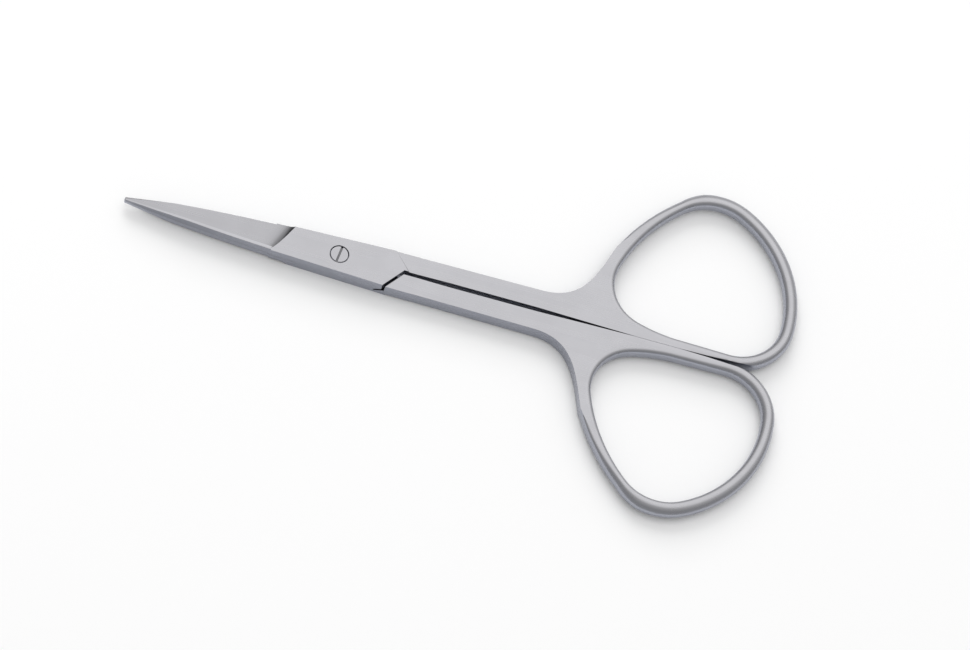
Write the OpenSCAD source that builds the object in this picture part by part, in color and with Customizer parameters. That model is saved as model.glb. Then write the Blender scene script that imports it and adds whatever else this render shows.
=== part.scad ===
// Straight cuticle scissors, closed, lying flat.
// The pivot axis is +Z through the origin, the finger rings lie towards +X,
// the ring of the top half towards +Y, and z = 0 is the underside of the joint.
// Each half is one forging and the lower one is the same blank turned over.

/* [Blades] */
// Pivot to the tip of the blades
blade_len = 29; // [24:0.5:36]
// Half width that the blade outline reaches at its fullest point
blade_half_w = 2.37; // [2.2:0.05:2.9]
// Radius of the long curve of each blade edge
blade_curve_r = 237; // [200:1:300]
// Where the blade outline is fullest, behind the pivot
blade_full_x = 3; // [2:0.5:5]
// Thickness of one blade at the tip
tip_t = 0.4; // [0.3:0.05:0.7]
// Length of the tip part that thins down
tip_taper_len = 9.5; // [6:0.5:16]
// Lean of the cutting side, from the inner edge to the ground face
edge_lean = 0.08; // [0.03:0.01:0.15]

/* [Ground face] */
// Pivot to the middle of the shoulder where the ground face stops
grind_x = 6.9; // [5.5:0.1:9]
// Depth of the ground face at the cutting edge
grind_depth = 0.34; // [0.2:0.02:0.5]
// Land left along the back of the blade
grind_land = 0.3; // [0.2:0.05:0.6]
// Radius of the hollow at the shoulder
grind_r = 1.2; // [0.6:0.1:2]
// Slant of the shoulder across the blade, in degrees
grind_slant = 22; // [10:1:30]

/* [Joint] */
// Thickness of the two plates together
joint_t = 2.4; // [2.2:0.05:3]
// Gap between the sliding faces
slide_gap = 0.04; // [0.02:0.01:0.08]
// Half width of the joint where it meets the blades
joint_front_w = 2.15; // [2:0.05:2.4]
// Half width of the joint at its shoulder
joint_back_w = 2.78; // [2.6:0.05:3.2]
// Pivot to the shoulder, on the middle line
shoulder_x = 9.05; // [8:0.05:11]
// Slant of the shoulder from square, in degrees
shoulder_slant = 38; // [25:1:45]
// Gap between a plate's end and the shoulder
shoulder_gap = 0.34; // [0.2:0.02:0.5]
// Reach of the slanting relief from the foot of the shoulder into the plate
relief_len = 1.15; // [0.8:0.05:1.4]
// Depth of the relief's far end below the sliding face
relief_depth = 0.85; // [0.6:0.05:0.95]
// Height of the relief's opening in the side
relief_w = 0.35; // [0.2:0.05:0.45]

/* [Shanks] */
// Thickness of the shanks and webs
shank_t = 2; // [1.9:0.05:2.05]
// Half width over both shanks where they leave the joint
shank_front_w = 2.8; // [2.6:0.05:3.3]
// Half width over both shanks where they flare out
shank_back_w = 3.05; // [2.8:0.05:3.6]
// Gap between the shanks
shank_gap = 0.5; // [0.3:0.05:0.8]
// Gap at the pads where the halves stop against each other
stop_gap = 0.08; // [0.04:0.02:0.2]
// Start of the stop pads, from the pivot
stop_x = 39; // [36:0.5:42]
// Length of the stop pads
stop_len = 7; // [4:0.5:10]
// Length over which the gap narrows towards the pads
gap_taper_len = 12; // [8:0.5:16]
// Length over which the gap opens again beyond the pads
gap_open_len = 6; // [4:0.5:7]
// Radius of the inner curve from shank to ring
flare_r = 6; // [4:0.5:8]
// Direction of the flare where it meets the ring, in degrees
flare_angle = 66; // [62:1:70]

/* [Finger rings] */
// Wire diameter of the rings
ring_d = 2.14; // [2.12:0.02:2.3]
// Pivot to the end of the straight inner bar
ring_x = 53; // [50:0.5:56]
// Distance of the bar's centre line from the middle line
bar_y = 0.5; // [0.4:0.05:0.8]
// Centre line radius of the inner corner by the bar's end
corner_r = 7; // [6:0.25:8]
// Turn of that corner, in degrees
corner_turn = 86; // [80:1:90]
// Centre line radius of the far side
far_r = 16.5; // [15.5:0.25:17.5]
// Turn of the far side, in degrees
far_turn = 66; // [62:1:70]
// Centre line radius of the crown
crown_r = 7.5; // [6.5:0.25:8.5]
// Turn of the crown, in degrees
crown_turn = 70; // [66:1:74]
// Centre line radius of the near side
near_r = 25; // [23:0.5:27]
// Centre line radius of the heel above the web
heel_r = 7; // [6:0.25:8]
// Height of the lowest point of the heel's circle over the bar
heel_lift = 0.57; // [0.4:0.05:0.8]
// Centre line radius of the curve from the heel to the bar
sole_r = 20; // [18:1:26]

/* [Pivot screw] */
// Diameter of the screw head
head_d = 2.45; // [2.2:0.05:3]
// Height of the screw head
head_t = 0.5; // [0.4:0.05:0.7]
// Diameter of the screw body
neck_d = 1.5; // [1.3:0.05:1.8]
// Running clearance on the radius, in the top half
run_gap = 0.04; // [0.02:0.01:0.08]
// Clearance on the radius around the head
head_gap = 0.08; // [0.04:0.01:0.12]
// Clearance on the radius in the thread
thread_gap = 0.02; // [0.01:0.01:0.04]
// Width of the driver slot
slot_w = 0.3; // [0.2:0.05:0.4]
// Depth of the driver slot
slot_depth = 0.28; // [0.15:0.01:0.35]
// Direction of the slot, in degrees
slot_angle = 82; // [0:1:179]
// Edge break on the head
head_chamfer = 0.08; // [0.04:0.01:0.15]

/* [Hidden] */
eps = 0.01;
far = 80;
plate_t = joint_t / 2;
mid_z = plate_t;
inner_z = slide_gap / 2;
blade_side_y = blade_half_w - blade_curve_r;
shoulder_k = tan(shoulder_slant);
plate_end_x = shoulder_x - shoulder_gap / cos(shoulder_slant);
shank_half_t = shank_t / 2;
// The plate's raised face runs a little way onto its own shank
plate_lap = 0.3;
// The plate and the blade run into each other under the ground face
plate_lead = 2;
blade_lap = 3;
// The relief stays clear of the plate's corner on the middle line
relief_start = 0.8;
stop_end_x = stop_x + stop_len;

// Half width of the blade outline at a station
function blade_w(x) = blade_side_y + sqrt(pow(blade_curve_r, 2) - pow(x - blade_full_x, 2));

// Centre of an arc and a point on it, from the heading of travel
function arc_centre(p, h, r) = p + r * [-sin(h), cos(h)];
function arc_point(c, h, r) = c + r * [sin(h), -cos(h)];

// The ring's centre line: tangent arcs that start where the bar ends
ring_start = [ring_x, bar_y];
corner_h = corner_turn;
far_h = corner_h + far_turn;
crown_h = far_h + crown_turn;
corner_c = arc_centre(ring_start, 0, corner_r);
corner_p = arc_point(corner_c, corner_h, corner_r);
far_c = arc_centre(corner_p, corner_h, far_r);
far_p = arc_point(far_c, far_h, far_r);
crown_c = arc_centre(far_p, far_h, crown_r);
crown_p = arc_point(crown_c, crown_h, crown_r);
near_c = arc_centre(crown_p, crown_h, near_r);
// The near side turns until the heel sits at its height over the bar
heel_y = bar_y + heel_lift + heel_r;
near_h = 360 - acos((near_c[1] - heel_y) / (near_r - heel_r));
near_p = arc_point(near_c, near_h, near_r);
heel_c = arc_centre(near_p, near_h, heel_r);
// The heel hands over to the sole where the sole can end level with the bar
heel_h = 360 - acos(1 - heel_lift / (sole_r - heel_r));
heel_p = arc_point(heel_c, heel_h, heel_r);
sole_c = arc_centre(heel_p, heel_h, sole_r);
sole_p = arc_point(sole_c, 360, sole_r);
bar_len = ring_start[0] - sole_p[0];

seam_step = 0.02;
// The bar's ends run a little way into the arcs beside it
bar_lap = 0.4;

// The flare: a line along the outer side of the ring, rounded into the shank
flare_inset = 0.06;
flare_dir = [cos(flare_angle), sin(flare_angle)];
flare_h = 180 + flare_angle;
flare_touch = arc_point(near_c, flare_h, near_r + ring_d / 2 - flare_inset);
// Beyond the touch the flat face fades into the wire: degrees on, and the part of the wire's radius
fade = [[18, 0.2], [13.5, 0.5], [9, 0.72], [4.5, 0.87]];
// The flat face ends inside the wire, at these parts of each stretch's turn
near_marks = [0.4, 0.8];
heel_marks = [0.1, 0.35, 0.6, 0.85];
sole_marks = [0.3, 0.8];
shank_k = (shank_back_w - shank_front_w) / (flare_touch[0] - shoulder_x);
function shank_w(x) = shank_front_w + shank_k * (x - shoulder_x);
flare_base_t = (shank_w(flare_touch[0]) - flare_touch[1]) / (flare_dir[1] - shank_k * flare_dir[0]);
flare_base = flare_touch + flare_base_t * flare_dir;
// Tangent length of the rounding from the corner between the two lines
flare_turn = flare_angle - atan(shank_k);
flare_tan = flare_r * tan(flare_turn / 2);
shank_dir = [cos(atan(shank_k)), sin(atan(shank_k))];
flare_a = flare_base - flare_tan * shank_dir;
flare_b = flare_base + flare_tan * flare_dir;
flare_c = flare_a + flare_r * [-shank_dir[1], shank_dir[0]];

// One arc of the ring's wire
module wire_arc(c, r, from_h, to_h, d) {
    translate([c[0], c[1], 0])
        rotate([0, 0, from_h - 90])
            rotate_extrude(angle = to_h - from_h, $fn = 180)
                translate([r, 0])
                    circle(d = d, $fn = 36);
}

// Neighbouring stretches differ by a hair, so that each ends on a clear edge
module ring_wire() {
    thin_d = ring_d - seam_step;
    wire_arc(corner_c, corner_r, 0, corner_h, ring_d);
    wire_arc(far_c, far_r, corner_h, far_h, thin_d);
    wire_arc(crown_c, crown_r, far_h, crown_h, ring_d);
    wire_arc(near_c, near_r, crown_h, near_h, thin_d);
    wire_arc(heel_c, heel_r, near_h, heel_h, ring_d);
    wire_arc(sole_c, sole_r, heel_h, 360, thin_d);
    translate([sole_p[0] - bar_lap, sole_p[1], 0])
        rotate([0, 90, 0])
            cylinder(d = thin_d - seam_step, h = bar_len + 2 * bar_lap, $fn = 36);
}

// Plan of the shank and web: its inner side runs inside the ring's wire
module shank_plan() {
    near_in = [for (k = near_marks) arc_point(near_c, flare_h + k * (near_h - flare_h), near_r)];
    heel_in = [for (k = heel_marks) arc_point(heel_c, near_h + k * (heel_h - near_h), heel_r)];
    sole_in = [for (k = sole_marks) arc_point(sole_c, heel_h + k * (360 - heel_h), sole_r)];
    fade_out = [for (f = fade) arc_point(near_c, flare_h - f[0], near_r + f[1] * ring_d / 2)];
    polygon(concat(
        [[shoulder_x - shank_front_w * shoulder_k, shank_front_w], [shoulder_x, 0], [ring_x, 0], ring_start],
        [for (i = [len(sole_in) - 1 : -1 : 0]) sole_in[i]],
        [for (i = [len(heel_in) - 1 : -1 : 0]) heel_in[i]],
        [for (i = [len(near_in) - 1 : -1 : 0]) near_in[i]],
        fade_out,
        [flare_touch, flare_base]
    ));
    difference() {
        polygon([flare_a, flare_base, flare_b]);
        translate(flare_c) circle(r = flare_r, $fn = 120);
    }
}

// Space left for the other half beside the shank, the bar and the ring
module mate_plan() {
    start_x = shoulder_x - 2 * shank_front_w;
    polygon([
        [start_x, -far],
        [far, -far],
        [far, shank_gap / 4],
        [stop_end_x + gap_open_len, shank_gap / 4],
        [stop_end_x, stop_gap / 2],
        [stop_x, stop_gap / 2],
        [stop_x - gap_taper_len, shank_gap / 2],
        [start_x, shank_gap / 2]
    ]);
}

module handle() {
    difference() {
        union() {
            translate([0, 0, -shank_half_t])
                linear_extrude(shank_t) shank_plan();
            ring_wire();
        }
        translate([0, 0, -joint_t])
            linear_extrude(2 * joint_t) mate_plan();
    }
}

// Plan of the joint plate, over the whole width of the closed joint
module plate_plan() {
    back_x = plate_end_x - joint_back_w * shoulder_k;
    own_x = shoulder_x + plate_lap - joint_back_w * shoulder_k;
    polygon([
        [-grind_x - plate_lead, -joint_front_w],
        [back_x, -joint_back_w],
        [plate_end_x + shank_gap / 2 * shoulder_k, shank_gap / 2],
        [shoulder_x + plate_lap, shank_gap / 2],
        [own_x, joint_back_w],
        [-grind_x - plate_lead, joint_front_w]
    ]);
}

// Blade outline: two long curves that meet at a small round nose
module blade_solid() {
    nose_r = blade_w(-blade_len);
    nose_x = nose_r - blade_len;
    height = plate_t - inner_z;
    translate([0, 0, inner_z]) {
        intersection() {
            translate([blade_full_x, blade_side_y, 0])
                cylinder(r1 = blade_curve_r, r2 = blade_curve_r - edge_lean, h = height, $fn = 1440);
            translate([blade_full_x, -blade_side_y, 0])
                cylinder(r = blade_curve_r, h = height, $fn = 1440);
            translate([nose_x, -far / 2, 0])
                cube([-nose_x - grind_x + blade_lap, far, height]);
        }
        translate([nose_x, 0, 0])
            cylinder(r = blade_w(nose_x), h = height, $fn = 48);
    }
}

// Thins the blade towards its tip
module tip_cut() {
    slope = atan((plate_t - tip_t) / tip_taper_len);
    translate([tip_taper_len - blade_len, 0, plate_t])
        rotate([0, -slope, 0])
            translate([-far, -far / 2, 0])
                cube([far, far, far]);
}

// Cuts the ground face and its hollow shoulder
module grind_cut() {
    span = 2 * joint_front_w - grind_land;
    tilt = atan(grind_depth / span);
    translate([-grind_x, grind_land - joint_front_w, plate_t])
        rotate([-tilt, 0, 0])
            translate([0, span / 2, 0])
                rotate([0, 0, -grind_slant])
                    rotate([90, 0, 0])
                        translate([0, 0, -far / 2])
                            linear_extrude(far) {
                                translate([-far, 0])
                                    square([far - grind_r, far / 2]);
                                translate([-far, grind_r])
                                    square([far, far / 2]);
                                translate([-grind_r, grind_r])
                                    circle(r = grind_r, $fn = 96);
                            }
}

// Slanting relief at the foot of the shoulder, open to the half's own side
module relief_cut() {
    translate([shoulder_x, 0, inner_z])
        rotate([0, 0, shoulder_slant])
            translate([0, relief_start + far, 0])
                rotate([90, 0, 0])
                    linear_extrude(far)
                        polygon([
                            [-shoulder_gap, -eps],
                            [0, -eps],
                            [0, relief_w / 2],
                            [-relief_len, relief_depth],
                            [-relief_len, relief_depth - relief_w]
                        ]);
}

// The half with its ring towards +Y, about the sliding plane at z = 0
module half_blank() {
    difference() {
        union() {
            translate([0, 0, inner_z])
                linear_extrude(plate_t - inner_z) plate_plan();
            blade_solid();
        }
        tip_cut();
        grind_cut();
        relief_cut();
    }
    handle();
}

module top_half() {
    color("silver")
        translate([0, 0, mid_z])
            difference() {
                half_blank();
                translate([0, 0, -joint_t])
                    cylinder(d = neck_d + 2 * run_gap, h = 2 * joint_t, $fn = 72);
                translate([0, 0, plate_t - head_t])
                    cylinder(d = head_d + 2 * head_gap, h = plate_t, $fn = 96);
            }
}

module bottom_half() {
    color("lightgray")
        translate([0, 0, mid_z])
            rotate([180, 0, 0])
                difference() {
                    half_blank();
                    translate([0, 0, -joint_t])
                        cylinder(d = neck_d + 2 * thread_gap, h = 2 * joint_t, $fn = 72);
                }
}

module pivot_screw() {
    head_z = joint_t - head_t;
    color("gray")
        difference() {
            union() {
                cylinder(d = neck_d, h = joint_t - head_t / 2, $fn = 72);
                translate([0, 0, head_z])
                    cylinder(d = head_d, h = head_t - head_chamfer, $fn = 96);
                translate([0, 0, joint_t - head_chamfer])
                    cylinder(d1 = head_d, d2 = head_d - 2 * head_chamfer, h = head_chamfer, $fn = 96);
            }
            translate([0, 0, joint_t - slot_depth])
                rotate([0, 0, slot_angle])
                    translate([-head_d, -slot_w / 2, 0])
                        cube([2 * head_d, slot_w, head_t]);
        }
}

top_half();
bottom_half();
pivot_screw();
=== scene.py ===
"""Cuticle scissors, closed and lying flat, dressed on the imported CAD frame."""
import math
import bmesh
import bpy
from mathutils import Matrix, Vector


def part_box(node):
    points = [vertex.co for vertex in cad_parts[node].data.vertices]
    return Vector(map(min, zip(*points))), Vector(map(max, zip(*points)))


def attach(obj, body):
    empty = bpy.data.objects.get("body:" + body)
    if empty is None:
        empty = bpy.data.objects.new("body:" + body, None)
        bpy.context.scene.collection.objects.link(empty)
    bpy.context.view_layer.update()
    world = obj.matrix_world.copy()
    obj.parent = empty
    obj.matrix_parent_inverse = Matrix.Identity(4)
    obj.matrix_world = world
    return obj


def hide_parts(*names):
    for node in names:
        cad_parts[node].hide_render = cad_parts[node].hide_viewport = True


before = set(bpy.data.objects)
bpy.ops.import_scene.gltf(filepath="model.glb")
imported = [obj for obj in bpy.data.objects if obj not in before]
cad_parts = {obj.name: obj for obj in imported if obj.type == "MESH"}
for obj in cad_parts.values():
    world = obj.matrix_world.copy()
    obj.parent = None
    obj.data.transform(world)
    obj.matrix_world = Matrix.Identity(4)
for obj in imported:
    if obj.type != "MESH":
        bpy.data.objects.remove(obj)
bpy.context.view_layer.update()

MM = 0.001

# Camera: the photograph's view, taken from its measured perspective
IMAGE_W = 970
FOCAL_PX = 8000.0
SENSOR_MM = 36.0
CAM_AT = Vector((-45.149, -524.241, 909.817)) * MM
CAM_X = Vector((0.962285, 0.199980, 0.184434))
CAM_Y = Vector((-0.264672, 0.844964, 0.464741))

# Steel: the tone of the ground flats, and the darker, bluer tone that steep faces take as painted
# shade
STEEL_TONE = (0.592, 0.589, 0.617)
SCREW_TONE = (0.58, 0.576, 0.604)
SIDE_SHADE_TONE = (0.65, 0.675, 0.73)
# How far down from the screw's top the painted shade of its recesses starts and is full, and the
# tone it leaves
RECESS_SHADE_FROM = 0.00004
RECESS_SHADE_FULL = 0.00025
RECESS_SHADE_TONE = 0.36
# Name of the mesh attribute that holds the painted shade and highlights on the blade and joint
PAINTED_LIGHT_ATTR = "painted_light"

# The room's brightness, from the darkest side to the lit side, and the way to the lit side
ROOM = [(0.0, 0.48), (0.36, 0.5), (0.6, 0.56), (0.77, 0.68), (0.9, 0.88), (0.975, 1.0), (1.0, 1.0)]
ROOM_LIT = (0.2, 0.62, 0.76)
FLOOR_SIDE = 3.0
FLOOR_AT = (0.02, 0, -0.00002)
LOOK_AT = (0.02, 0, 0)

# The halves, in millimetres about the sliding plane, with the ring towards +Y
MID_Z = 1.2
HALF_T = 1.0
BAR_Y = 0.5
RING_X = 53.0
# The solid's own surface is used up to here, and the rest is modelled below
CUT_X = 10.5
# The web's flat lies this much over the ring's top
WEB_PROUD = 0.0004

# The ring's centre line: radius and last heading of the corner, the far side and the crown
RING_TURNS = [(7.0, 86.0), (16.5, 152.0), (7.5, 222.0)]
NEAR_R = 25.0
HEEL_R = 7.0
SOLE_R = 20.0
HEEL_LIFT = 0.57
RING_STEP = 0.45
BAR_STEPS = 12

# The wire's section on a heading in degrees: half width, fullness of the outer and the inner side
SECTION = [
    (0, 0.88, 2.8, 2.8), (40, 0.90, 2.4, 2.4), (86, 0.92, 2.2, 2.2), (152, 0.99, 2.2, 2.2),
    (222, 0.99, 2.2, 2.2), (248.5, 1.02, 5.0, 3.0), (300, 1.05, 6.5, 3.2), (343, 1.04, 6.0, 3.6),
    (352, 1.02, 5.0, 3.6), (360, 0.96, 4.0, 3.6),
]
# How much narrower the wire is on the outer side of the near arm, by heading
SLIM = [(196, 0.0), (222, 0.42), (236, 0.38), (250, 0.2), (299, 0.2), (301, 0.0)]
# How far the ridge of the wire leans towards the hole, by heading
LEAN = [(70, 0.0), (120, 0.22), (226, 0.22), (246, 0.0)]

# Distance of the shank's and the bar's inner side from the middle line
MATE = [
    (CUT_X, 0.25), (15.0, 0.32), (27.0, 0.3), (40.5, 0.012), (46.5, 0.012), (50.0, 0.09),
    (54.6, 0.3), (57.0, 0.5),
]
# The web's inner side runs inside the ring from here on
WEB_TURN_X = 48.0

# The shank's half width where it leaves the joint and where it flares out
SHANK_FROM_X = 9.05
SHANK_FRONT_W = 2.8
SHANK_BACK_W = 3.05
# The flare: the heading on which it meets the ring, and how far outside the centre line
FLARE_H = 248.5
FLARE_OUT = 0.83
# The flare's free curve: where it starts, its pull at the shank, and its pull and slope at the ring
FLARE_START_X = 27.2
FLARE_PULL = Vector((5.6, 0.1))
FLARE_ARM = 5.0
FLARE_SLOPE = 71
FLARE_STEPS = 20
# Past the flare the web's side sinks into the wire: degrees on, and distance from the centre line
WEB_FADE = [(15, 0.02), (10, 0.18), (6, 0.36), (2.5, 0.62)]

# The blade's back, from the joint to the tip: place, and width of the land there
BACK = [
    (-9.0, -2.07, 0.5), (-14.76, -1.7, 0.46), (-20.12, -1.24, 0.38), (-24.95, -0.72, 0.3),
    (-28.8, -0.23, 0.18),
]
# The foot of the shoulder where the ground face stops, and the way across it
SHOULDER_FOOT = Vector((-7.36, 2.21))
SHOULDER_ACROSS = Vector((4.06, -1.64)).normalized()
SHOULDER_STRIPS = (0.12, 0.3, 0.6, 1.0, 1.7, 2.8)
# The foot of the joint plate on the shank, the way across it, and the strip beside it that takes
# painted shade
STEP_FOOT = Vector((9.35, 0.25))
STEP_ACROSS = Vector((2.53, 2.172)).normalized()
STEP_STRIP = 0.14

# Rounding of the polished edges: the full width, and the part of it that an edge gets
EDGE_ROUND = 0.0003
EDGE_PART = 0.2
BACK_PART = 0.8
BACK_HEEL_PART = 0.4
PLATE_PART = 0.05


def make_camera():
    data = bpy.data.cameras.new("view")
    data.sensor_width = SENSOR_MM
    data.lens = SENSOR_MM * FOCAL_PX / IMAGE_W
    data.clip_start = 0.05
    data.clip_end = 20.0
    cam = bpy.data.objects.new("view", data)
    x = CAM_X.normalized()
    z = x.cross(CAM_Y).normalized()
    y = z.cross(x)
    turn = Matrix((x, y, z)).transposed()
    cam.matrix_world = Matrix.Translation(CAM_AT) @ turn.to_4x4()
    bpy.context.scene.collection.objects.link(cam)
    bpy.context.scene.camera = cam


# Materials
def node(tree, kind, **values):
    n = tree.nodes.new(kind)
    for k, v in values.items():
        setattr(n, k, v)
    return n


def ramp(tree, source, stops):
    n = node(tree, "ShaderNodeValToRGB")
    while len(n.color_ramp.elements) < len(stops):
        n.color_ramp.elements.new(0.5)
    for e, (at, v) in zip(n.color_ramp.elements, stops):
        e.position = at
        e.color = (*v, 1.0) if isinstance(v, tuple) else (v, v, v, 1.0)
    tree.links.new(source, n.inputs["Fac"])
    return n.outputs["Color"]


def multiply(tree, a, b):
    n = node(tree, "ShaderNodeMix", data_type="RGBA", blend_type="MULTIPLY")
    n.inputs["Factor"].default_value = 1.0
    tree.links.new(a, n.inputs["A"])
    tree.links.new(b, n.inputs["B"])
    return n.outputs["Result"]


def map_range(tree, source, **ends):
    n = node(tree, "ShaderNodeMapRange")
    for k, v in ends.items():
        n.inputs[k.replace("_", " ")].default_value = v
    tree.links.new(source, n.inputs["Value"])
    return n.outputs["Result"]


def mapped_noise(tree, scale, stretch=(1, 1, 1), detail=2.0, turn=0.0):
    """Noise in object space; scale is in features per metre."""
    coord = node(tree, "ShaderNodeTexCoord")
    place = node(tree, "ShaderNodeMapping")
    place.inputs["Scale"].default_value = stretch
    place.inputs["Rotation"].default_value = (0, 0, turn)
    tree.links.new(coord.outputs["Object"], place.inputs["Vector"])
    n = node(tree, "ShaderNodeTexNoise")
    n.inputs["Scale"].default_value = scale
    n.inputs["Detail"].default_value = detail
    tree.links.new(place.outputs["Vector"], n.inputs["Vector"])
    return n.outputs["Fac"]


def cloudy_tone(tree, tone):
    """The steel's tone with soft clouds a little darker and lighter than it."""
    n = node(tree, "ShaderNodeMix", data_type="RGBA", blend_type="MIX")
    tree.links.new(mapped_noise(tree, 260, detail=3.0), n.inputs["Factor"])
    n.inputs["A"].default_value = (*(c * 0.93 for c in tone), 1)
    n.inputs["B"].default_value = (*(c * 1.05 for c in tone), 1)
    return n.outputs["Result"]


def shade_by_tilt(tree):
    """Painted shade: the steeper a face tilts from flat, the darker its tone; the forged sides are
    also bluer.
    """
    geo = node(tree, "ShaderNodeNewGeometry")
    axes = node(tree, "ShaderNodeSeparateXYZ")
    tree.links.new(geo.outputs["Normal"], axes.inputs["Vector"])
    up = node(tree, "ShaderNodeMath", operation="ABSOLUTE")
    tree.links.new(axes.outputs["Z"], up.inputs[0])
    half_way = tuple(0.25 * c + 0.48 for c in SIDE_SHADE_TONE)
    stops = [(0.0, SIDE_SHADE_TONE), (0.35, SIDE_SHADE_TONE), (0.82, half_way), (0.95, 0.82), (0.985, 1.0)]
    return ramp(tree, up.outputs["Value"], stops)


def shade_below_top(tree, top):
    """Painted shade in whatever lies lower than the polished top."""
    coord = node(tree, "ShaderNodeTexCoord")
    place = node(tree, "ShaderNodeSeparateXYZ")
    tree.links.new(coord.outputs["Object"], place.inputs["Vector"])
    ends = {"From_Min": top - RECESS_SHADE_FULL, "From_Max": top - RECESS_SHADE_FROM, "To_Min": RECESS_SHADE_TONE}
    return map_range(tree, place.outputs["Z"], **ends)


def satin_steel(name, tone, rough, grain, grain_turn, top=None):
    """Satin-finished stainless steel, with painted shade on its steeper faces; with a top, it takes
    painted shade below that height, and without one it takes the shade and highlights painted on
    the mesh."""
    mat = bpy.data.materials.new(name)
    mat.use_nodes = True
    t = mat.node_tree
    bsdf = t.nodes["Principled BSDF"]
    bsdf.inputs["Metallic"].default_value = 1.0
    if top is None:
        painted_light = node(t, "ShaderNodeAttribute", attribute_name=PAINTED_LIGHT_ATTR).outputs["Fac"]
    else:
        painted_light = shade_below_top(t, top)
    # Base colour: the steel's tone times the painted shade by tilt and the painted shade and
    # highlights
    base_with_painted_light = multiply(t, cloudy_tone(t, tone), multiply(t, shade_by_tilt(t), painted_light))
    t.links.new(base_with_painted_light, bsdf.inputs["Base Color"])
    lines = mapped_noise(t, 1500, stretch=(0.05, 1, 1), turn=grain_turn)
    spread = map_range(t, lines, To_Min=rough - 0.06, To_Max=rough + 0.06)
    t.links.new(spread, bsdf.inputs["Roughness"])
    bump = node(t, "ShaderNodeBump")
    bump.inputs["Strength"].default_value = grain
    bump.inputs["Distance"].default_value = 0.00001
    t.links.new(lines, bump.inputs["Height"])
    t.links.new(bump.outputs["Normal"], bsdf.inputs["Normal"])
    return mat


def dress(obj, mat):
    if obj.material_slots:
        for s in obj.material_slots:
            s.material = mat
    else:
        obj.data.materials.append(mat)


# Floor and light
def make_floor():
    mesh = bpy.data.meshes.new("floor")
    h = FLOOR_SIDE / 2
    mesh.from_pydata([(-h, -h, 0), (h, -h, 0), (h, h, 0), (-h, h, 0)], [], [(0, 1, 2, 3)])
    floor = bpy.data.objects.new("floor", mesh)
    floor.location = FLOOR_AT
    bpy.context.scene.collection.objects.link(floor)
    mat = bpy.data.materials.new("pale_floor")
    mat.use_nodes = True
    b = mat.node_tree.nodes["Principled BSDF"]
    b.inputs["Base Color"].default_value = (0.97, 0.97, 0.97, 1)
    b.inputs["Roughness"].default_value = 0.9
    mesh.materials.append(mat)


def area_light(name, at, size, power):
    data = bpy.data.lights.new(name, "AREA")
    data.shape = "RECTANGLE"
    data.size = size
    data.size_y = size
    data.energy = power
    lamp = bpy.data.objects.new(name, data)
    lamp.location = at
    aim = Vector(LOOK_AT) - Vector(at)
    lamp.rotation_mode = "QUATERNION"
    lamp.rotation_quaternion = aim.to_track_quat("-Z", "Y")
    lamp.visible_glossy = False
    bpy.context.scene.collection.objects.link(lamp)


def make_world():
    """A soft white room, brightest high at the back and a little to the right."""
    world = bpy.data.worlds.new("studio")
    bpy.context.scene.world = world
    world.use_nodes = True
    t = world.node_tree
    bg = t.nodes["Background"]
    coord = node(t, "ShaderNodeTexCoord")
    dot = node(t, "ShaderNodeVectorMath", operation="DOT_PRODUCT")
    t.links.new(coord.outputs["Generated"], dot.inputs[0])
    dot.inputs[1].default_value = ROOM_LIT
    t.links.new(ramp(t, dot.outputs["Value"], ROOM), bg.inputs["Color"])
    bg.inputs["Strength"].default_value = 1.0


# Curves
def turned(c, h, r):
    """The point of a circle that is passed on heading h."""
    return (c[0] + r * math.sin(math.radians(h)), c[1] - r * math.cos(math.radians(h)))


def centre(p, h, r):
    return (p[0] - r * math.sin(math.radians(h)), p[1] + r * math.cos(math.radians(h)))


def clamped(v):
    return min(max(v, 0.0), 1.0)


def between(marks, x):
    """Straight-line reading of (place, value) marks, level beyond the first and the last."""
    if x <= marks[0][0]:
        return marks[0][1]
    for (x0, y0), (x1, y1) in zip(marks, marks[1:]):
        if x <= x1:
            return y0 + (y1 - y0) * (x - x0) / (x1 - x0)
    return marks[-1][1]


def mate_y(x):
    """Where the other half begins, on the middle line."""
    return between(MATE, x)


# Ring
def ring_arcs():
    """The tangent arcs of the ring's centre line as (centre, radius, from heading, to heading)."""
    arcs = []
    p, h = (RING_X, BAR_Y), 0.0
    for r, end in RING_TURNS:
        c = centre(p, h, r)
        arcs.append((c, r, h, end))
        p, h = turned(c, end, r), end
    c = centre(p, h, NEAR_R)
    near_h = 360 - math.degrees(math.acos((c[1] - BAR_Y - HEEL_LIFT - HEEL_R) / (NEAR_R - HEEL_R)))
    arcs.append((c, NEAR_R, h, near_h))
    p = turned(c, near_h, NEAR_R)
    c = centre(p, near_h, HEEL_R)
    heel_h = 360 - math.degrees(math.acos(1 - HEEL_LIFT / (SOLE_R - HEEL_R)))
    arcs.append((c, HEEL_R, near_h, heel_h))
    p = turned(c, heel_h, HEEL_R)
    arcs.append((centre(p, heel_h, SOLE_R), SOLE_R, heel_h, 360.0))
    return arcs


ARCS = ring_arcs()
FLARE_TOUCH = turned(ARCS[3][0], FLARE_H, NEAR_R + FLARE_OUT)


def section_at(h):
    for (h0, *v0), (h1, *v1) in zip(SECTION, SECTION[1:]):
        if h <= h1:
            k = (h - h0) / (h1 - h0)
            k = k * k * (3 - 2 * k)
            return [x + (y - x) * k for x, y in zip(v0, v1)]


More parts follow.
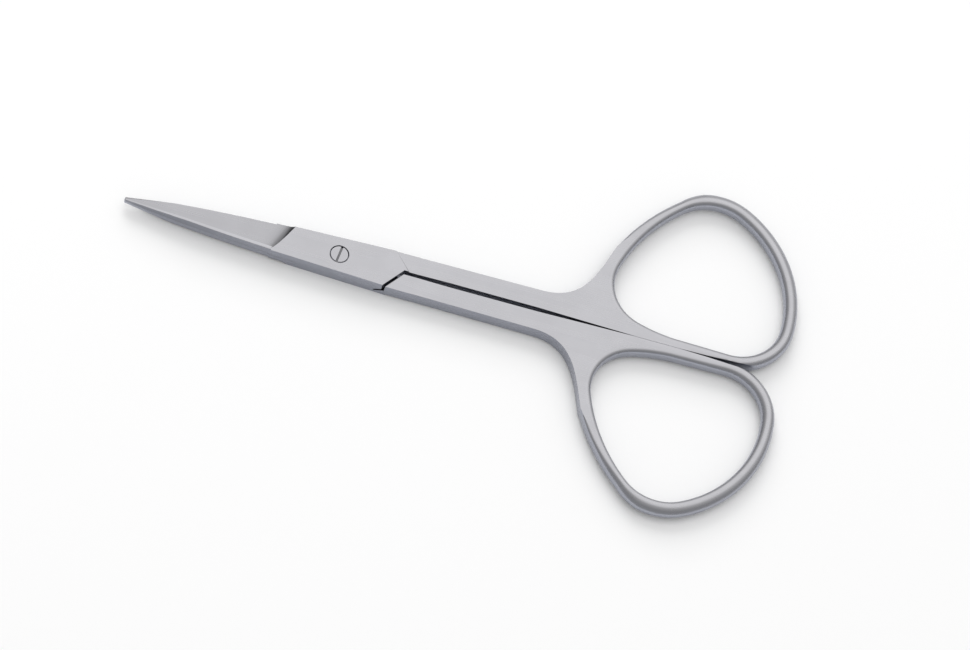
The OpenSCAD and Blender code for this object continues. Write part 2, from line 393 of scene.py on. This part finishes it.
def ring_stations():
    """Closed list of (point, heading, section) along the centre line."""
    stations = []
    for c, r, h0, h1 in ARCS:
        n = round((h1 - h0) * math.radians(1) * r / RING_STEP)
        for i in range(n):
            h = h0 + (h1 - h0) * i / n
            stations.append((turned(c, h, r), h, section_at(h)))
    start = turned(ARCS[-1][0], 360, SOLE_R)
    for i in range(BAR_STEPS):
        x = start[0] + (RING_X - start[0]) * i / BAR_STEPS
        k = (x - start[0]) / (RING_X - start[0])
        section = [a + (b - a) * k for a, b in zip(SECTION[-1][1:], SECTION[0][1:])]
        stations.append(((x, BAR_Y), 360.0, section))
    return stations


def add_ring(bm, around=40):
    rows = []
    for p, h, (half_w, outer, inner) in ring_stations():
        side = turned((0, 0), h, 1)
        row = []
        for i in range(around):
            t = 2 * math.pi * i / around
            ct, st = math.cos(t), math.sin(t)
            n, half = (outer, half_w - between(SLIM, h)) if ct > 0 else (inner, half_w)
            z = HALF_T * math.copysign(abs(st) ** (2 / n), st)
            u = half * math.copysign(abs(ct) ** (2 / n), ct) - between(LEAN, h) * z * z
            x, y = p[0] + side[0] * u, p[1] + side[1] * u
            row.append(bm.verts.new((x, max(y, mate_y(x)), z)))
        rows.append(row)
    for r0, r1 in zip(rows, rows[1:] + rows[:1]):
        for i in range(around):
            j = (i + 1) % around
            bm.faces.new((r0[i], r0[j], r1[j], r1[i]))


# Shank and web
def shank_w(x):
    k = (x - SHANK_FROM_X) / (FLARE_TOUCH[0] - SHANK_FROM_X)
    return SHANK_FRONT_W + (SHANK_BACK_W - SHANK_FRONT_W) * k


def flare_curve():
    """The free curve from the ring down to the shank, without its point on the ring."""
    start = Vector((FLARE_START_X, shank_w(FLARE_START_X)))
    end = Vector(FLARE_TOUCH)
    slope = math.radians(FLARE_SLOPE)
    arm = Vector((math.cos(slope), math.sin(slope)))
    bend = [start, start + FLARE_PULL, end - arm * FLARE_ARM, end]
    curve = []
    for i in range(FLARE_STEPS - 1, -1, -1):
        k = i / FLARE_STEPS
        parts = ((1 - k) ** 3, 3 * k * (1 - k) ** 2, 3 * k * k * (1 - k), k ** 3)
        q = sum((v * f for v, f in zip(bend, parts)), Vector((0, 0)))
        curve.append((q.x, q.y))
    return curve


def web_outline():
    """Plan of the shank and web; its inner side runs inside the ring."""
    (near_c, _, _, near_h), (heel_c, _, h0, h1), (sole_c, _, _, _) = ARCS[3:]
    pts = [(x, y) for x, y in MATE if x < WEB_TURN_X]
    pts += [(WEB_TURN_X, mate_y(WEB_TURN_X)), (WEB_TURN_X, BAR_Y)]
    pts += [turned(sole_c, h1 + k * (360 - h1), SOLE_R) for k in (0.8, 0.3)]
    pts += [turned(heel_c, h0 + k * (h1 - h0), HEEL_R) for k in (0.85, 0.6, 0.35, 0.1)]
    pts += [turned(near_c, FLARE_H + k * (near_h - FLARE_H), NEAR_R) for k in (0.8, 0.3)]
    pts += [turned(near_c, FLARE_H - d, NEAR_R + out) for d, out in WEB_FADE]
    pts.append(FLARE_TOUCH)
    pts += flare_curve()
    pts.append((CUT_X, shank_w(CUT_X)))
    return pts


def add_web(bm):
    pts = web_outline()
    t = HALF_T + WEB_PROUD
    low, high = ([bm.verts.new((x, y, z)) for x, y in pts] for z in (-t, t))
    bm.faces.new(high)
    bm.faces.new(low[::-1])
    for i in range(len(pts) - 1):
        bm.faces.new((low[i], low[i + 1], high[i + 1], high[i]))


# Blade and joint
def blade_and_joint(src, flip):
    """The CAD half up to the cut across its shank, in millimetres about the sliding plane."""
    bm = bmesh.new()
    bm.from_mesh(src.data)
    back = Matrix.Rotation(math.pi, 4, "X") if flip else Matrix.Identity(4)
    bm.transform(back @ Matrix.Translation((0, 0, -MID_Z)) @ Matrix.Scale(1 / MM, 4))
    bmesh.ops.remove_doubles(bm, verts=bm.verts, dist=0.0005)
    everything = [*bm.verts, *bm.edges, *bm.faces]
    cut = {"plane_co": (CUT_X, 0, 0), "plane_no": (1, 0, 0), "clear_outer": True}
    bmesh.ops.bisect_plane(bm, geom=everything, dist=1e-5, **cut)
    flat = math.radians(0.08)
    bmesh.ops.dissolve_limit(bm, angle_limit=flat, verts=bm.verts, edges=bm.edges)
    return bm


def is_ground(f):
    """The blade's ground face and the land along its back."""
    if f.normal.z < 0.9 or f.calc_center_median().x > -7.3 or f.calc_area() < 0.01:
        return False
    return f.normal.y > 0.05 or f.normal.x < -0.05


def is_shank_top(f):
    """The shank's flat at the foot of the joint plate."""
    c = f.calc_center_median()
    return f.normal.z > 0.9 and c.x > 6.8 and abs(c.z - HALF_T) < 0.01


def is_hollow(f):
    """The hollow at the shoulder where the ground face stops."""
    c = f.calc_center_median()
    return f.normal.x < -0.06 and f.normal.z > 0.3 and -12.0 < c.x < -5.0 and c.z < 1.199


def land_lines():
    """The border of the land as (point, way across it), piece by piece."""
    lines = []
    for (x0, y0, w0), (x1, y1, w1) in zip(BACK, BACK[1:]):
        across = Vector((y1 + w1 - y0 - w0, x0 - x1)).normalized()
        lines.append((Vector((x0, y0 + w0)), across))
    return lines


def is_land(p):
    """Whether a place on the ground face is on the narrow land along the back."""
    return min((p - a).dot(across) for a, across in land_lines()) < 0


def cut_faces(bm, picks, at, across):
    """Divides the faces that picks says with the upright plane through at."""
    geom = {}
    for f in bm.faces:
        if picks(f):
            geom.update(dict.fromkeys([f, *f.verts, *f.edges]))
    plane = {"plane_co": (at.x, at.y, 0), "plane_no": (across.x, across.y, 0)}
    bmesh.ops.bisect_plane(bm, geom=list(geom), dist=1e-4, **plane)


def part_faces(bm):
    """Divides the flats where the tone changes: at the land, the shoulder and the plate's foot."""
    for at, across in land_lines():
        cut_faces(bm, is_ground, at, across)
    for d in SHOULDER_STRIPS:
        cut_faces(bm, is_ground, SHOULDER_FOOT - SHOULDER_ACROSS * d, SHOULDER_ACROSS)
    cut_faces(bm, is_shank_top, STEP_FOOT + STEP_ACROSS * STEP_STRIP, STEP_ACROSS)


def tone_at(f, p):
    """Painted shade and highlights on a face, at one of its corners."""
    c, n = f.calc_center_median().xy, f.normal
    # Painted shade in the hollow, darker the steeper the face
    if is_hollow(f):
        return 0.5 - 0.34 * clamped((math.degrees(math.acos(n.z)) - 4) / 30)
    # Painted highlight on the land, and painted shade on the ground face, darkest at the shoulder
    if is_ground(f):
        d = max((SHOULDER_FOOT - p.xy).dot(SHOULDER_ACROSS), 0.0)
        return 1.04 if is_land(c) else 0.89 - 0.3 * math.exp(-d / 0.28) - 0.11 * math.exp(-d / 1.3)
    # Painted shade in the strip at the foot of the joint plate, dark at its lower end
    if is_shank_top(f) and (c - STEP_FOOT).dot(STEP_ACROSS) < STEP_STRIP:
        return 0.4 if p.y < 1.2 else 0.95
    # Painted shade on the back's wall, darker towards the tip
    if c.x < -6.5 and abs(n.z) < 0.5 and n.y < 0:
        return 0.8 + 0.2 * clamped((p.x + 22.0) / 12.0)
    # Painted highlight on the wall at the cutting edge
    if c.x < -6.5 and abs(n.z) < 0.5 and n.y > 0:
        return 1.15
    return 1.0


def paint_shade_and_highlights(bm):
    """Per face corner: painted shade in the hollow, at the plate's foot and on the thin back, and
    painted highlights on the land and the honed edge."""
    tone = bm.loops.layers.float.new(PAINTED_LIGHT_ATTR)
    for f in bm.faces:
        for loop in f.loops:
            loop[tone] = tone_at(f, loop.vert.co)


def weigh_edges(bm):
    """Which edges the polishing has rounded, and how much."""
    weight = bm.edges.layers.float.new("bevel_weight_edge")
    for e in bm.edges:
        if len(e.link_faces) != 2 or e.calc_face_angle(0) < math.radians(32) or not e.is_convex:
            continue
        mid = (e.verts[0].co + e.verts[1].co) / 2
        on_back = mid.x < -6.5 and mid.z > 0.3 and mid.y < 0.3 * (mid.x + 26) / 26
        beside_plate = 6.8 < mid.x < CUT_X and mid.y > 2.7
        if on_back:
            e[weight] = BACK_PART if mid.x < -9 else BACK_HEEL_PART
        else:
            e[weight] = PLATE_PART if beside_plate else EDGE_PART


def mark_sharp(edges, degrees):
    for e in edges:
        e.smooth = len(e.link_faces) == 2 and e.calc_face_angle(0) < math.radians(degrees)


def make_half(name, cad, flip, body):
    bm = blade_and_joint(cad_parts[cad], flip)
    part_faces(bm)
    forged = len(bm.edges)
    add_web(bm)
    add_ring(bm)
    bmesh.ops.recalc_face_normals(bm, faces=bm.faces)
    bm.edges.ensure_lookup_table()
    mark_sharp(bm.edges[:forged], 3)
    mark_sharp(bm.edges[forged:], 38)
    paint_shade_and_highlights(bm)
    weigh_edges(bm)
    place = Matrix.Scale(MM, 4) @ Matrix.Translation((0, 0, MID_Z))
    bm.transform(place @ Matrix.Rotation(math.pi, 4, "X") if flip else place)
    mesh = bpy.data.meshes.new(name)
    bm.to_mesh(mesh)
    bm.free()
    for f in mesh.polygons:
        f.use_smooth = True
    obj = bpy.data.objects.new(name, mesh)
    bpy.context.scene.collection.objects.link(obj)
    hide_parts(cad)
    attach(obj, body)
    return obj


def finish_half(obj, mat):
    dress(obj, mat)
    bevel = obj.modifiers.new("edge", "BEVEL")
    bevel.width = EDGE_ROUND
    bevel.segments = 3
    bevel.limit_method = "WEIGHT"
    flat = obj.modifiers.new("flat", "WEIGHTED_NORMAL")
    flat.keep_sharp = True
    flat.weight = 80


def finish_screw(obj):
    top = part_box("pivot_screw")[1][2]
    # Painted shade in the slot and groove below the screw's top
    dress(obj, satin_steel("screw_steel", SCREW_TONE, 0.26, 0.12, 1.2, top))
    weld = obj.modifiers.new("weld", "WELD")
    weld.merge_threshold = 0.0000005
    bevel = obj.modifiers.new("edge", "BEVEL")
    bevel.width = 0.00003
    bevel.segments = 2
    bevel.limit_method = "ANGLE"
    bevel.angle_limit = math.radians(35)
    flat = obj.modifiers.new("flat", "WEIGHTED_NORMAL")
    flat.keep_sharp = True


make_camera()
make_floor()
make_world()
area_light("key", (-0.2, 0.648, 0.424), 0.5, 2.8)
area_light("fill", (0.02, -0.1, 1.1), 1.2, 3.2)

steel = satin_steel("satin_steel", STEEL_TONE, 0.28, 0.15, 0.0)
finish_half(make_half("top_half_forging", "top_half", False, "top"), steel)
finish_half(make_half("bottom_half_forging", "bottom_half", True, "bottom"), steel)
finish_screw(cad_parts["pivot_screw"])

bpy.context.scene.view_settings.view_transform = "Standard"
bpy.context.view_layer.update()
